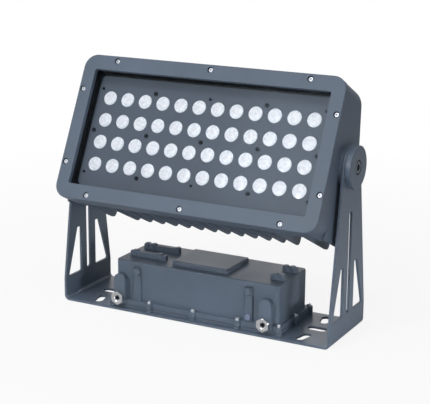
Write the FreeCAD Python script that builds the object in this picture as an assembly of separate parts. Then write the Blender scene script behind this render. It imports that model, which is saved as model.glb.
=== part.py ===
import FreeCAD
import Part
import math
import os

# LED flood light on a bent yoke, with its driver box on the yoke's base.
# Millimetres. +X is the lamp's right seen from the front, the face looks to -Y, +Z is up.
# The origin is the middle of the yoke base's underside.

Vec = FreeCAD.Vector
X_AXIS = Vec(1, 0, 0)
Y_AXIS = Vec(0, 1, 0)
Z_AXIS = Vec(0, 0, 1)
ORIGIN = Vec(0, 0, 0)
FRONT = Vec(0, -1, 0)
BACK = Vec(0, 1, 0)
UP = Vec(0, 0, 1)
DOWN = Vec(0, 0, -1)
TOLERANCE = 0.001
CUT_OVERRUN = 1.0
FULL_TURN = 360.0
HEX_SIDES = 6

# Lens grid, behind the window
LENS_COLUMNS = 12
LENS_ROWS = 4
LENS_PITCH_X = 32.0
LENS_PITCH_Z = 36.0
LENS_RADIUS = 11.2
LENS_DOME_HEIGHT = 0.8
LENS_FLANGE = 3.5
LENS_CONE_TOP_RADIUS = 9.8
LENS_CONE_BOTTOM_RADIUS = 5.0
LENS_CONE_LENGTH = 6.4
LENS_PROUD = 0.5
LENS_HOLE_CLEARANCE = 0.4
HOLDER_HEIGHT = 7.9
HOLDER_OUTER_RADIUS = 12.0
HOLDER_WALL = 1.6
LED_SIZE = 3.5
LED_HEIGHT = 0.9

# Front frame
WINDOW_MARGIN_X = 10.0
WINDOW_MARGIN_Z = 21.5
WINDOW_CORNER_RADIUS = 3.0
FRAME_SIDE = 22.0
FRAME_TOP = 24.0
BEZEL_FRONT = 61.5
BEZEL_PLATE = 8.0
BEZEL_DEPTH = 16.5
BEZEL_SKIRT = 3.5
BEZEL_CORNER_RADIUS = 22.0
BEZEL_EDGE_RADIUS = 1.6
BEZEL_SCREW_INSET_X = 7.0
BEZEL_SCREW_INSET_Z = 8.2
BEZEL_SCREW_SPREAD_X = 165.5
BEZEL_SCREW_SPREAD_Z = 60.0
BEZEL_SCREW_BORE_DEPTH = 6.0
BEZEL_SCREW_LENGTH = 14.0

# Window glass in its rubber channel
GLASS_THICKNESS = 5.0
GLASS_OVERLAP = 5.0
GASKET_FRONT_LIP = 1.0
GASKET_BACK_LIP = 2.0
GASKET_EDGE = 2.0
GASKET_LIP_WIDTH = 4.0

# Mask plate between the lenses
MASK_DEPTH = 22.0
MASK_THICKNESS = 1.5
MASK_GAP_X = 2.0
MASK_GAP_Z = 3.8
MASK_CORNER_RADIUS = 8.0
MASK_SPACER_RADIUS = 3.6
MASK_SCREW_LARGE_RADIUS = 3.2
MASK_SCREW_SMALL_RADIUS = 2.1
MASK_SCREW_HEAD = 1.8
MASK_SCREW_SOCKET = 2.0
MASK_SCREW_SOCKET_DEPTH = 1.1
MASK_SCREW_SHANK_RADIUS = 1.25
MASK_SCREW_LENGTH = 7.0
MASK_SCREW_ROW_STEP = 1.9
MASK_SCREW_COLUMNS = 5

# LED boards
BOARD_THICKNESS = 1.6
BOARD_EDGE_X = 12.0
BOARD_EDGE_Z = 9.0
BOARD_SPACER_CLEARANCE = 1.0
BOARD_SCREW_HEAD_RADIUS = 2.75
BOARD_SCREW_HEAD = 2.0
BOARD_SCREW_SOCKET = 2.0
BOARD_SCREW_SOCKET_DEPTH = 1.2
BOARD_SCREW_SHANK_RADIUS = 1.5
BOARD_SCREW_LENGTH = 6.0

# Cast housing of the head, with its fins
SEAM_GAP = 0.4
SHELL_INSET = 0.5
RIM_CLEARANCE = 0.3
CAVITY_MARGIN = 2.0
FLOOR_THICKNESS = 7.0
FIN_COUNT = 17
FIN_END_MARGIN = 33.5
FIN_THICKNESS = 3.6
FIN_END_THICKNESS = 4.5
FIN_REACH = 78.0
FIN_TIP_INSET = 0.2
FIN_CORNER_RADIUS = 9.0
CHEEK_THICKNESS = 16.0
CHEEK_TOP_REACH = 2.6
CHEEK_REACH = 37.2
CHEEK_FLAT_HALF = 38.0
CHEEK_CORNER_RADIUS = 12.0
SIDE_FIN_THICKNESS = 3.6
SIDE_FIN_REACH = 34.0
SIDE_FIN_OUTER_RADIUS = 2.6
PAD_PROUD = 5.5
PAD_RADIUS = 31.0
BOLT_BOSS_LENGTH = 26.0
BOLT_BOSS_HALF_HEIGHT = 18.0
BOLT_BOSS_REACH = 17.0

# Pivot: friction washer, clamp disc and bolt on each side
REST_TILT = 26.3
SWING_CLEARANCE = 33.39
FRICTION_WASHER_THICKNESS = 1.0
FRICTION_WASHER_RADIUS = 30.0
CLAMP_DISC_RADIUS = 32.5
CLAMP_DISC_THICKNESS = 9.2
CLAMP_DISC_EDGE_RADIUS = 1.2
CLAMP_RECESS_RADIUS = 11.0
CLAMP_RECESS_DEPTH = 7.0
CLAMP_WASHER_RADIUS = 10.2
CLAMP_WASHER_THICKNESS = 1.2
CLAMP_BOLT_RADIUS = 6.0
CLAMP_BOLT_LENGTH = 32.0
CLAMP_BOLT_HEAD_RADIUS = 9.0
CLAMP_BOLT_HEAD = 5.2
CLAMP_BOLT_SOCKET = 10.0
CLAMP_BOLT_SOCKET_DEPTH = 3.6
PIVOT_FIT = 0.05
THREAD_CLEARANCE = 0.1
SCREW_CLEARANCE = 0.3

# Yoke, bent from one piece of sheet
YOKE_DEPTH = 134.0
YOKE_SHEET = 4.0
YOKE_BEND_RADIUS = 5.0
ARM_TOP_RADIUS = 32.5
ARM_STRAIGHT_HEIGHT = 36.5
ARM_CUT_BOTTOM = 38.8
ARM_SLOT_WIDTH = 10.4
ARM_SLOT_BELOW_PIVOT = 67.5
ARM_WINDOW_HEIGHT = 76.0
ARM_WINDOW_INNER = 20.8
ARM_WINDOW_BASE = 37.4
ARM_WINDOW_TIP = 11.0
ARM_WINDOW_CORNER_RADIUS = 2.5
BASE_SLOT_INSET = 48.5
BASE_ARC_SLOT_ANGLE = 12.9
BASE_ARC_SLOT_LENGTH = 31.0
BASE_ARC_SLOT_WIDTH = 13.0
BASE_CROSS_SLOT_LENGTH = 31.0
BASE_CROSS_SLOT_WIDTH = 15.0

# Driver box
DRIVER_LENGTH = 287.0
DRIVER_SETBACK = 15.0
DRIVER_PLATE = 4.0
DRIVER_GASKET = 1.0
DRIVER_FLANGE = 8.0
DRIVER_BODY_HEIGHT = 63.2
DRIVER_WALL = 4.0
DRIVER_EDGE_RADIUS = 7.5
DRIVER_TOP_RADIUS = 2.5
FLANGE_MARGIN_X = 5.0
FLANGE_MARGIN_Y = 7.0
FLANGE_CORNER_RADIUS = 4.0
LUG_RADIUS = 6.0
LUG_VENT_GAP = 7.5
LUG_CORNER_INSET_X = 2.0
LUG_CORNER_INSET_Y = 3.0
DRIVER_SCREW_TIP_GAP = 0.5
GASKET_INNER_MARGIN = 1.0
MOUNT_SCREW_INSET_X = 31.5
MOUNT_SCREW_INSET_Y = 12.0
MOUNT_SCREW_HEAD_RADIUS = 4.0
MOUNT_SCREW_HEAD = 2.0
MOUNT_SCREW_TIP_GAP = 0.6
TOP_PAD_LENGTH = 98.0
TOP_PAD_DEPTH = 76.0
TOP_PAD_HEIGHT = 7.0
TOP_PAD_CORNER_RADIUS = 3.0
TOP_PAD_EDGE_RADIUS = 2.5
BAR_WIDTH = 6.5
BAR_HEIGHT = 8.0
BAR_BOSS_RADIUS = 4.6
BAR_BOSS_HEIGHT = 10.0
BAR_OFFSET_Y = 21.5
LONG_BAR_LENGTH = 66.0
LONG_BAR_END_GAP = 10.0
LONG_BAR_FRONT_BOSSES = (9.5, 54.0)
LONG_BAR_REAR_BOSSES = (6.5, 18.0, 62.5)
SHORT_BAR_LENGTH = 24.5
SHORT_BAR_END_GAP = 3.0
SHORT_BAR_FRONT_BOSSES = (7.5, 19.5)
SHORT_BAR_REAR_BOSSES = (5.2, 16.5)
RIB_WIDTH = 14.6
RIB_PROUD = 3.0
RIB_HEIGHT = 47.0
RIB_EDGE_RADIUS = 1.0
RIB_LEFT_END_GAP = 40.5
RIB_RIGHT_END_GAP = 49.5
RIB_BOSS_RADIUS = 6.2
RIB_BOSS_FORWARD = 2.6
RIB_BOSS_HEIGHT = 11.0
RIB_BOSS_OVERLAP = 3.0
ARCH_WIDTH = 21.0
ARCH_PROUD = 11.0
ARCH_HEIGHT = 42.6
ARCH_LEFT_END_GAP = 12.2
ARCH_RIGHT_END_GAP = 18.0
ARCH_EDGE_RADIUS = 1.5
VENT_HEIGHT = 7.0
VENT_RADIUS = 5.0
VENT_CAP = 2.5
VENT_CAP_EDGE_RADIUS = 0.8
VENT_STEM_RADIUS = 3.0

# Cable glands
GLAND_HEIGHT = 4.2
GLAND_FLANGE_FLATS = 17.0
GLAND_FLANGE = 2.5
GLAND_THREAD_RADIUS = 6.0
GLAND_STUB_RADIUS = 6.0
GLAND_STUB = 4.0
GLAND_BORE_RADIUS = 4.6
GLAND_NUT_FLATS = 20.0
GLAND_NUT_LENGTH = 6.0
GLAND_NUT_HOLE_RADIUS = 4.1
GLAND_MOUTH_RADIUS = 6.2
GLAND_MOUTH_DEPTH = 1.4
GLAND_SEAL_RADIUS = 4.4
GLAND_SEAL_HOLE_RADIUS = 3.0
GLAND_SEAL_LENGTH = 5.0
GLAND_THREAD_LENGTH = 9.0
GLAND_CLEARANCE = 0.15
GLAND_HEX_TURN = 30.0
HEAD_GLAND_EDGE = 15.0
HEAD_GLAND_NUT_FLATS = 17.0

# Electronics in the driver box
MODULE_SIDE_GAP = 10.0
MODULE_END_GAP = 9.5
MODULE_SPACING = 10.0
SUPPLY_LENGTH = 110.0
SUPPLY_HEIGHT = 45.0
LED_DRIVER_HEIGHT = 38.0
MODULE_EDGE_RADIUS = 2.0
MODULE_EAR_LENGTH = 5.0
MODULE_EAR_HEIGHT = 3.0
CONTROL_LENGTH = 38.0
CONTROL_DEPTH = 70.0
CONTROL_STANDOFF_HEIGHT = 8.0
CONTROL_STANDOFF_RADIUS = 3.0
CONTROL_HOLE_INSET = 5.0
CHIP_SIZE = 12.0
CHIP_HEIGHT = 2.0
CAPACITOR_RADIUS = 6.0
CAPACITOR_HEIGHT = 14.0
TERMINAL_LENGTH = 10.0
TERMINAL_HEIGHT = 11.0
TERMINAL_WAYS = 6
TERMINAL_GAP = 2.0
TERMINAL_HOLE_SHARE = 0.35
TERMINAL_HOLE_DEPTH_SHARE = 0.5

# Socket head screws, size four
M4_HEAD_RADIUS = 3.5
M4_HEAD = 4.0
M4_SOCKET = 3.0
M4_SOCKET_DEPTH = 2.0
M4_SHANK_RADIUS = 2.0
M4_BORE_CLEARANCE = 1.2

# Sizes that follow from the ones above: the front of the head
WINDOW_WIDTH = LENS_COLUMNS * LENS_PITCH_X + 2 * WINDOW_MARGIN_X
WINDOW_HEIGHT = LENS_ROWS * LENS_PITCH_Z + 2 * WINDOW_MARGIN_Z
BEZEL_WIDTH = WINDOW_WIDTH + 2 * FRAME_SIDE
BEZEL_HEIGHT = WINDOW_HEIGHT + 2 * FRAME_TOP
BEZEL_BACK = BEZEL_FRONT - BEZEL_DEPTH
PLATE_BACK = BEZEL_FRONT - BEZEL_PLATE
GLASS_FRONT = PLATE_BACK - GASKET_FRONT_LIP
GLASS_BACK = GLASS_FRONT - GLASS_THICKNESS
LEDGE = GLASS_BACK - GASKET_BACK_LIP
GLASS_WIDTH = WINDOW_WIDTH + 2 * GLASS_OVERLAP
GLASS_HEIGHT = WINDOW_HEIGHT + 2 * GLASS_OVERLAP
POCKET_WIDTH = GLASS_WIDTH + 2 * GASKET_EDGE
POCKET_HEIGHT = GLASS_HEIGHT + 2 * GASKET_EDGE
CAVITY_WIDTH = WINDOW_WIDTH + 2 * CAVITY_MARGIN
CAVITY_HEIGHT = WINDOW_HEIGHT + 2 * CAVITY_MARGIN
MASK_FRONT = BEZEL_FRONT - MASK_DEPTH
MASK_BACK = MASK_FRONT - MASK_THICKNESS
MASK_WIDTH_STEP = LENS_COLUMNS * LENS_PITCH_X / (MASK_SCREW_COLUMNS - 1)
MASK_WIDTH = WINDOW_WIDTH - 2 * MASK_GAP_X
MASK_HEIGHT = WINDOW_HEIGHT - 2 * MASK_GAP_Z
LENS_SEAT = MASK_FRONT + LENS_PROUD - LENS_FLANGE
BOARD_FRONT = LENS_SEAT - HOLDER_HEIGHT
FLOOR_FRONT = BOARD_FRONT - BOARD_THICKNESS
FLOOR_BACK = FLOOR_FRONT - FLOOR_THICKNESS
BOARD_WIDTH = LENS_COLUMNS / 2 * LENS_PITCH_X - LENS_PITCH_X + 2 * BOARD_EDGE_X
BOARD_HEIGHT = (LENS_ROWS - 1) * LENS_PITCH_Z + 2 * BOARD_EDGE_Z
BOARD_CENTRE_X = LENS_COLUMNS / 4 * LENS_PITCH_X

# The rest of the head and the pivot
SHELL_WIDTH = BEZEL_WIDTH - 2 * SHELL_INSET
SHELL_HEIGHT = BEZEL_HEIGHT - 2 * SHELL_INSET
SHELL_FRONT = BEZEL_BACK - SEAM_GAP
RIM_WIDTH = BEZEL_WIDTH - 2 * (BEZEL_SKIRT + RIM_CLEARANCE)
RIM_HEIGHT = BEZEL_HEIGHT - 2 * (BEZEL_SKIRT + RIM_CLEARANCE)
RIM_RADIUS = BEZEL_CORNER_RADIUS - BEZEL_SKIRT - RIM_CLEARANCE
FIN_SPAN = SHELL_WIDTH / 2 - FIN_END_MARGIN
FIN_PITCH = 2 * FIN_SPAN / (FIN_COUNT - 1)
FIN_ROOT_HALF = SHELL_HEIGHT / 2
FIN_TIP_HALF = SHELL_HEIGHT / 2 - FIN_TIP_INSET
PAD_FACE = SHELL_WIDTH / 2 + PAD_PROUD
ARM_INNER_FACE = PAD_FACE + FRICTION_WASHER_THICKNESS
ARM_OUTER_FACE = ARM_INNER_FACE + YOKE_SHEET
CLAMP_FACE = ARM_OUTER_FACE + CLAMP_DISC_THICKNESS
BOLT_SEAT = CLAMP_FACE - CLAMP_RECESS_DEPTH + CLAMP_WASHER_THICKNESS
BOLT_HOLE_RADIUS = CLAMP_BOLT_RADIUS + PIVOT_FIT

# The driver box on the yoke's base
DRIVER_DEPTH = YOKE_DEPTH - 2 * DRIVER_SETBACK
PLATE_TOP = YOKE_SHEET + DRIVER_PLATE
HOUSING_BOTTOM = PLATE_TOP + DRIVER_GASKET
FLANGE_TOP = HOUSING_BOTTOM + DRIVER_FLANGE
DRIVER_TOP = FLANGE_TOP + DRIVER_BODY_HEIGHT
FLANGE_LENGTH = DRIVER_LENGTH + 2 * FLANGE_MARGIN_X
FLANGE_DEPTH = DRIVER_DEPTH + 2 * FLANGE_MARGIN_Y
GLAND_LEVEL = FLANGE_TOP + GLAND_HEIGHT
MODULE_ROOM = DRIVER_LENGTH - 2 * (DRIVER_WALL + MODULE_END_GAP + MODULE_SPACING)
LED_DRIVER_LENGTH = MODULE_ROOM - SUPPLY_LENGTH - CONTROL_LENGTH
ARCH_LEFT_X = ARCH_LEFT_END_GAP - DRIVER_LENGTH / 2
ARCH_RIGHT_X = DRIVER_LENGTH / 2 - ARCH_RIGHT_END_GAP
RIB_LEFT_X = RIB_LEFT_END_GAP - DRIVER_LENGTH / 2
RIB_RIGHT_X = DRIVER_LENGTH / 2 - RIB_RIGHT_END_GAP
LUG_SPACING = RIB_RIGHT_X - VENT_RADIUS - M4_HEAD_RADIUS - LUG_VENT_GAP
VENT_LEVEL = FLANGE_TOP + VENT_HEIGHT
FIN_SWEEP = math.hypot(FIN_REACH, FIN_TIP_HALF)
FACE_SWEEP = math.hypot(BEZEL_FRONT, BEZEL_HEIGHT / 2)
PIVOT_HEIGHT = DRIVER_TOP + BAR_BOSS_HEIGHT + max(FIN_SWEEP, FACE_SWEEP) + SWING_CLEARANCE
YOKE_WIDTH = 2 * ARM_OUTER_FACE


def block(x, y, z):
    """Box between the low and high values of each axis."""
    return Part.makeBox(x[1] - x[0], y[1] - y[0], z[1] - z[0], Vec(x[0], y[0], z[0]))


def centred(size, middle=0.0):
    return (middle - size / 2, middle + size / 2)


def depth(back, front):
    """Y range of a layer of the head, from its distances in front of the pivot."""
    return (-front, -back)


def edges_along(shape, axis):
    """Straight edges parallel to an axis."""
    found = []
    for edge in shape.Edges:
        span = edge.Vertexes[-1].Point - edge.Vertexes[0].Point
        if abs(abs(span.dot(axis)) - edge.Length) < TOLERANCE:
            found.append(edge)
    return found


def edges_at(shape, axis, level):
    """Edges that lie whole in the plane at one level of an axis."""
    found = []
    for edge in shape.Edges:
        box = edge.BoundBox
        low = Vec(box.XMin, box.YMin, box.ZMin).dot(axis)
        high = Vec(box.XMax, box.YMax, box.ZMax).dot(axis)
        if abs(low - level) < TOLERANCE and abs(high - level) < TOLERANCE:
            found.append(edge)
    return found


def rounded_block(x, y, z, radius, axis):
    """Box with the four edges along one axis rounded."""
    body = block(x, y, z)
    return body.makeFillet(radius, edges_along(body, axis))


def rod(start, axis, radius, length):
    return Part.makeCylinder(radius, length, start, axis)


def ring(start, axis, outer, inner, length):
    return rod(start, axis, outer, length).cut(rod(start, axis, inner, length))


def hex_prism(across_flats, bottom, top, turn=0.0):
    """Six-sided bar along Z, turned about it from a corner on X."""
    reach = across_flats / math.sqrt(3)
    corners = []
    for side in range(HEX_SIDES + 1):
        angle = math.radians(turn + side * FULL_TURN / HEX_SIDES)
        corners.append(Vec(reach * math.cos(angle), reach * math.sin(angle), bottom))
    return Part.Face(Part.makePolygon(corners)).extrude(Vec(0, 0, top - bottom))


def prism(points, along):
    """Flat outline through the points, drawn out along a vector."""
    return Part.Face(Part.makePolygon(points + points[:1])).extrude(along)


def merged(shapes):
    body = shapes[0].fuse(shapes[1:])
    return body.removeSplitter()


def without(body, cuts):
    return body.cut(cuts).removeSplitter()


def aim(shape, seat, outward):
    """Put a piece that was made along +Z on its seat, looking outward."""
    placed = shape.copy()
    placed.Placement = FreeCAD.Placement(seat, FreeCAD.Rotation(Z_AXIS, outward))
    return placed


def on_head(shape):
    """Move a piece from the head's own frame, upright at its pivot, to its place at rest."""
    placed = shape.copy()
    placed.rotate(ORIGIN, X_AXIS, -REST_TILT)
    placed.translate(Vec(0, 0, PIVOT_HEIGHT))
    return placed


def socket_screw(head_radius, head, socket, socket_depth, shank_radius, length):
    """Screw along Z with its head above zero and its shank below."""
    body = merged([
        rod(ORIGIN, UP, head_radius, head),
        rod(ORIGIN, DOWN, shank_radius, length),
    ])
    return body.cut(hex_prism(socket, head - socket_depth, head + CUT_OVERRUN))


def m4_screw(length):
    return socket_screw(M4_HEAD_RADIUS, M4_HEAD, M4_SOCKET, M4_SOCKET_DEPTH, M4_SHANK_RADIUS, length)


def countersunk_screw(head_radius, head, shank_radius, length, socket, socket_depth):
    """Flat-headed screw, its face at zero and its shank below."""
    body = merged([
        Part.makeCone(head_radius, shank_radius, head, ORIGIN, DOWN),
        rod(ORIGIN, DOWN, shank_radius, length),
    ])
    return body.cut(hex_prism(socket, -socket_depth, CUT_OVERRUN))


def arm_outline(x):
    """Side view of one yoke arm: straight at the bottom, tapering to a round top."""
    half = YOKE_DEPTH / 2
    reach = math.hypot(half, PIVOT_HEIGHT - ARM_STRAIGHT_HEIGHT)
    lean = math.atan2(ARM_STRAIGHT_HEIGHT - PIVOT_HEIGHT, half)
    touch = lean + math.acos(ARM_TOP_RADIUS / reach)
    touch_y = ARM_TOP_RADIUS * math.cos(touch)
    touch_z = PIVOT_HEIGHT + ARM_TOP_RADIUS * math.sin(touch)
    foot_front = Vec(x, -half, 0)
    bend_front = Vec(x, -half, ARM_STRAIGHT_HEIGHT)
    top_front = Vec(x, -touch_y, touch_z)
    crown = Vec(x, 0, PIVOT_HEIGHT + ARM_TOP_RADIUS)
    top_back = Vec(x, touch_y, touch_z)
    bend_back = Vec(x, half, ARM_STRAIGHT_HEIGHT)
    foot_back = Vec(x, half, 0)
    edges = [
        Part.LineSegment(foot_front, bend_front).toShape(),
        Part.LineSegment(bend_front, top_front).toShape(),
        Part.Arc(top_front, crown, top_back).toShape(),
        Part.LineSegment(top_back, bend_back).toShape(),
        Part.LineSegment(bend_back, foot_back).toShape(),
        Part.LineSegment(foot_back, foot_front).toShape(),
    ]
    return Part.Face(Part.Wire(edges))


def arm_window(side, x, along):
    """Pointed opening beside the arm's slot, on the front (-1) or back (1) half."""
    inner = side * ARM_WINDOW_INNER
    outer = side * (ARM_WINDOW_INNER + ARM_WINDOW_BASE)
    tip = side * (ARM_WINDOW_INNER + ARM_WINDOW_TIP)
    top = ARM_CUT_BOTTOM + ARM_WINDOW_HEIGHT
    opening = prism([
        Vec(x, inner, ARM_CUT_BOTTOM),
        Vec(x, outer, ARM_CUT_BOTTOM),
        Vec(x, tip, top),
        Vec(x, inner, top),
    ], along)
    corners = []
    for edge in edges_along(opening, X_AXIS):
        if edge.Vertexes[0].Point.z < ARM_CUT_BOTTOM + TOLERANCE:
            corners.append(edge)
    return opening.makeFillet(ARM_WINDOW_CORNER_RADIUS, corners)


def arm_cuts(x, along):
    """Slot, windows and pivot hole of one arm."""
    slot_top = PIVOT_HEIGHT - ARM_SLOT_BELOW_PIVOT
    slot = rounded_block(
        (min(x, x + along.x), max(x, x + along.x)),
        centred(ARM_SLOT_WIDTH),
        (ARM_CUT_BOTTOM, slot_top),
        ARM_SLOT_WIDTH / 2 - TOLERANCE, X_AXIS)
    hole = rod(Vec(x, 0, PIVOT_HEIGHT), along, BOLT_HOLE_RADIUS, along.Length)
    return [slot, hole, arm_window(-1, x, along), arm_window(1, x, along)]


def arc_slot(angle):
    """Base slot that follows a circle about the base's middle."""
    middle = YOKE_WIDTH / 2 - BASE_SLOT_INSET
    half_width = BASE_ARC_SLOT_WIDTH / 2
    half_turn = math.degrees((BASE_ARC_SLOT_LENGTH / 2 - half_width) / middle)
    height = YOKE_SHEET + 2 * CUT_OVERRUN
    low = Vec(0, 0, -CUT_OVERRUN)
    outer = Part.makeCylinder(middle + half_width, height, low, Z_AXIS, 2 * half_turn)
    inner = Part.makeCylinder(middle - half_width, height, low, Z_AXIS, 2 * half_turn)
    pieces = [outer.cut(inner)]
    for turn in (0, 2 * half_turn):
        end = Vec(middle * math.cos(math.radians(turn)), middle * math.sin(math.radians(turn)), -CUT_OVERRUN)
        pieces.append(rod(end, Z_AXIS, half_width, height))
    slot = merged(pieces)
    slot.rotate(ORIGIN, Z_AXIS, angle - half_turn)
    return slot


def base_cuts():
    """Fixing slots at both ends of the base, and the driver box's screw holes."""
    cuts = []
    through = (-CUT_OVERRUN, YOKE_SHEET + CUT_OVERRUN)
    middle = YOKE_WIDTH / 2 - BASE_SLOT_INSET
    for end in (0, FULL_TURN / 2):
        for side in (-1, 1):
            cuts.append(arc_slot(end + side * BASE_ARC_SLOT_ANGLE))
    for side in (-1, 1):
        cuts.append(rounded_block(
            centred(BASE_CROSS_SLOT_LENGTH, side * middle),
            centred(BASE_CROSS_SLOT_WIDTH),
            through, BASE_CROSS_SLOT_WIDTH / 2 - TOLERANCE, Z_AXIS))
    for x, y in mount_screw_places():
        cuts.append(rod(Vec(x, y, -CUT_OVERRUN), Z_AXIS,
                        M4_SHANK_RADIUS + SCREW_CLEARANCE, YOKE_SHEET + 2 * CUT_OVERRUN))
        cuts.append(Part.makeCone(
            MOUNT_SCREW_HEAD_RADIUS + SCREW_CLEARANCE, M4_SHANK_RADIUS + SCREW_CLEARANCE,
            MOUNT_SCREW_HEAD, Vec(x, y, 0), Z_AXIS))
    return cuts


def yoke_bracket():
    """Base and both arms, one bent sheet."""
    pieces = [block(centred(YOKE_WIDTH), centred(YOKE_DEPTH), (0, YOKE_SHEET))]
    cuts = []
    for side in (-1, 1):
        inner = side * ARM_INNER_FACE
        along = Vec(side * YOKE_SHEET, 0, 0)
        pieces.append(arm_outline(inner).extrude(along))
        cuts.extend(arm_cuts(inner, along))
    bracket = merged(pieces)
    bends = []
    for edge in edges_along(bracket, Y_AXIS):
        place = edge.Vertexes[0].Point
        if abs(abs(place.x) - ARM_INNER_FACE) < TOLERANCE and abs(place.z - YOKE_SHEET) < TOLERANCE:
            bends.append(edge)
    bracket = bracket.makeFillet(YOKE_BEND_RADIUS, bends)
    corners = []
    for edge in edges_along(bracket, Y_AXIS):
        place = edge.Vertexes[0].Point
        if abs(abs(place.x) - ARM_OUTER_FACE) < TOLERANCE and abs(place.z) < TOLERANCE:
            corners.append(edge)
    bracket = bracket.makeFillet(YOKE_BEND_RADIUS + YOKE_SHEET, corners)
    return without(bracket, cuts + base_cuts())


def mount_screw_places():
    """Centres of the screws that hold the driver box to the base."""
    x = DRIVER_LENGTH / 2 - MOUNT_SCREW_INSET_X
    y = DRIVER_DEPTH / 2 - MOUNT_SCREW_INSET_Y
    return [(side_x * x, side_y * y) for side_x in (-1, 1) for side_y in (-1, 1)]


def lug_places():
    """Centres of the screws round the driver box's flange."""
    places = []
    for side in (-1, 1):
        for step in (-1, 0, 1):
            places.append((step * LUG_SPACING, side * FLANGE_DEPTH / 2))
        places.append((side * FLANGE_LENGTH / 2, 0))
        for end in (-1, 1):
            places.append((end * (FLANGE_LENGTH / 2 - LUG_CORNER_INSET_X),
                           side * (FLANGE_DEPTH / 2 - LUG_CORNER_INSET_Y)))
    return places


def flange_layer(bottom, top):
    """One layer of the flange outline, with its rounded lugs."""
    pieces = [rounded_block(centred(FLANGE_LENGTH), centred(FLANGE_DEPTH), (bottom, top),
                            FLANGE_CORNER_RADIUS, Z_AXIS)]
    for x, y in lug_places():
        pieces.append(rod(Vec(x, y, bottom), UP, LUG_RADIUS, top - bottom))
    return merged(pieces)


def lug_holes(bottom, top, radius):
    return [rod(Vec(x, y, bottom), UP, radius, top - bottom) for x, y in lug_places()]


def driver_bottom_plate():
    """Lid under the driver box, with tapped holes for both sets of screws."""
    tapped = M4_SHANK_RADIUS + THREAD_CLEARANCE
    cuts = lug_holes(YOKE_SHEET, PLATE_TOP, tapped)
    for x, y in mount_screw_places():
        cuts.append(rod(Vec(x, y, YOKE_SHEET), UP, tapped, DRIVER_PLATE))
    return without(flange_layer(YOKE_SHEET, PLATE_TOP), cuts)


def driver_gasket():
    """Flat rubber ring between the plate and the housing."""
    opening = block(
        centred(DRIVER_LENGTH - 2 * (DRIVER_WALL - GASKET_INNER_MARGIN)),
        centred(DRIVER_DEPTH - 2 * (DRIVER_WALL - GASKET_INNER_MARGIN)),
        (PLATE_TOP, HOUSING_BOTTOM))
    holes = lug_holes(PLATE_TOP, HOUSING_BOTTOM, M4_SHANK_RADIUS + SCREW_CLEARANCE)
    return without(flange_layer(PLATE_TOP, HOUSING_BOTTOM), [opening] + holes)


def arch_pad(x, side):
    """Thick arch-topped pad for a gland, on the front (-1) or back (1) wall."""
    wall = side * DRIVER_DEPTH / 2
    face = side * (DRIVER_DEPTH / 2 + ARCH_PROUD)
    radius = ARCH_WIDTH / 2
    spring = HOUSING_BOTTOM + ARCH_HEIGHT + DRIVER_FLANGE - radius
    y = (min(wall, face), max(wall, face))
    pad = merged([
        block(centred(ARCH_WIDTH, x), y, (HOUSING_BOTTOM, spring)),
        rod(Vec(x, y[0], spring), Y_AXIS, radius, ARCH_PROUD),
    ])
    return pad.makeFillet(ARCH_EDGE_RADIUS, [
        edge for edge in edges_at(pad, Y_AXIS, face)
        if edge.BoundBox.ZMax > HOUSING_BOTTOM + TOLERANCE])


def front_rib(x):
    """Upright rib on the front wall, with a round boss at its top."""
    wall = -DRIVER_DEPTH / 2
    rib_top = FLANGE_TOP + RIB_HEIGHT
    rib = block(centred(RIB_WIDTH, x), (wall - RIB_PROUD, wall), (FLANGE_TOP, rib_top))
    face_edges = [edge for edge in edges_at(rib, Y_AXIS, wall - RIB_PROUD)
                  if edge.BoundBox.ZMax > FLANGE_TOP + TOLERANCE]
    rib = rib.makeFillet(RIB_EDGE_RADIUS, face_edges)
    foot = Vec(x, wall - RIB_BOSS_FORWARD, rib_top - RIB_BOSS_OVERLAP)
    boss = rod(foot, UP, RIB_BOSS_RADIUS, RIB_BOSS_HEIGHT)
    return [rib, boss]


def top_bar(start, length, bosses, y):
    """Raised bar on the driver box's top with taller round bosses along it."""
    pieces = [block((start, start + length), centred(BAR_WIDTH, y),
                    (DRIVER_TOP, DRIVER_TOP + BAR_HEIGHT))]
    for inset in bosses:
        pieces.append(rod(Vec(start + inset, y, DRIVER_TOP), UP, BAR_BOSS_RADIUS, BAR_BOSS_HEIGHT))
    return pieces


def top_pad():
    top = DRIVER_TOP + TOP_PAD_HEIGHT
    pad = rounded_block(centred(TOP_PAD_LENGTH), centred(TOP_PAD_DEPTH), (DRIVER_TOP, top),
                        TOP_PAD_CORNER_RADIUS, Z_AXIS)
    return pad.makeFillet(TOP_PAD_EDGE_RADIUS, edges_at(pad, Z_AXIS, top))


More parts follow.
